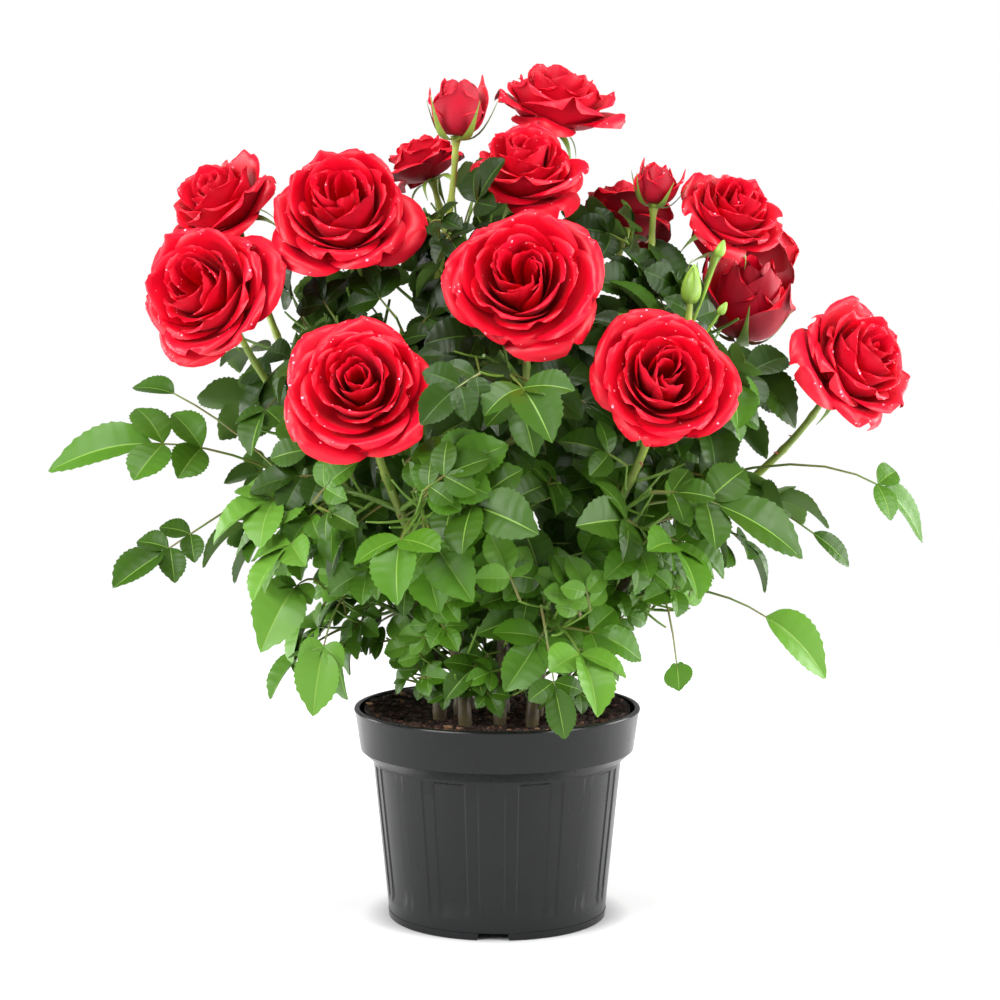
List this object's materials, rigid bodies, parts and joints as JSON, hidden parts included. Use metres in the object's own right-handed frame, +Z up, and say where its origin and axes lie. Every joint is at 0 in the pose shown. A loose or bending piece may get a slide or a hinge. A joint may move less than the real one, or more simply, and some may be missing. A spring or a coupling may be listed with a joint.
{
  "type": "potted rose bush",
  "caption": "Bush rose in full red flower, with leafy stems rising from the soil of a round nursery pot that stands on a flat underside.",
  "frame": {"origin": "middle of the pot's flat underside, on the surface that the plant stands on", "axes": "+Z up along the pot's axis, -Y toward the side that the picture shows, +X to the right of that view"},
  "size_m": [0.61, 0.3761, 0.5974],
  "materials": {
    "pot": "dark grey moulded plastic, slightly glossy",
    "soil": "moist dark potting compost with lighter flecks",
    "stem": "smooth olive green bark with reddish prickles",
    "bloom": "velvety red petals",
    "leaf": "green leaves, glossy above and paler below"
  },
  "bodies": {
    "root": {"bloom_back_left": "bloom", "bloom_back_right": "bloom", "bloom_centre": "bloom", "bloom_front_left": "bloom", "bloom_front_right": "bloom", "bloom_left_big": "bloom", "bloom_left_high": "bloom", "bloom_left_low": "bloom", "bloom_rear_centre": "bloom", "bloom_rear_high_left": "bloom", "bloom_rear_high_right": "bloom", "bloom_rear_left": "bloom", "bloom_rear_right": "bloom", "bloom_right_back": "bloom", "bloom_right_bud": "bloom", "bloom_right_far": "bloom", "bloom_right_high": "bloom", "bloom_top": "bloom", "bloom_top_bud": "bloom", "bloom_top_centre": "bloom", "foliage_low_back": "leaf", "foliage_low_front": "leaf", "foliage_low_left": "leaf", "foliage_low_right": "leaf", "foliage_middle_back_left": "leaf", "foliage_middle_back_right": "leaf", "foliage_middle_front": "leaf", "foliage_middle_front_left": "leaf", "foliage_middle_front_right": "leaf", "foliage_middle_left": "leaf", "foliage_middle_right": "leaf", "foliage_top_middle": "leaf", "foliage_upper_back": "leaf", "foliage_upper_front": "leaf", "foliage_upper_left": "leaf", "foliage_upper_right": "leaf", "pot": "pot", "soil": "soil", "stem_back_left": "stem", "stem_back_right": "stem", "stem_centre": "stem", "stem_front_left": "stem", "stem_front_right": "stem", "stem_green_bud": "stem", "stem_left_big": "stem", "stem_left_high": "stem", "stem_left_low": "stem", "stem_rear_centre": "stem", "stem_rear_high_left": "stem", "stem_rear_high_right": "stem", "stem_rear_left": "stem", "stem_rear_right": "stem", "stem_right_back": "stem", "stem_right_bud": "stem", "stem_right_far": "stem", "stem_right_high": "stem", "stem_top": "stem", "stem_top_bud": "stem", "stem_top_centre": "stem"}
  },
  "joints": []
}
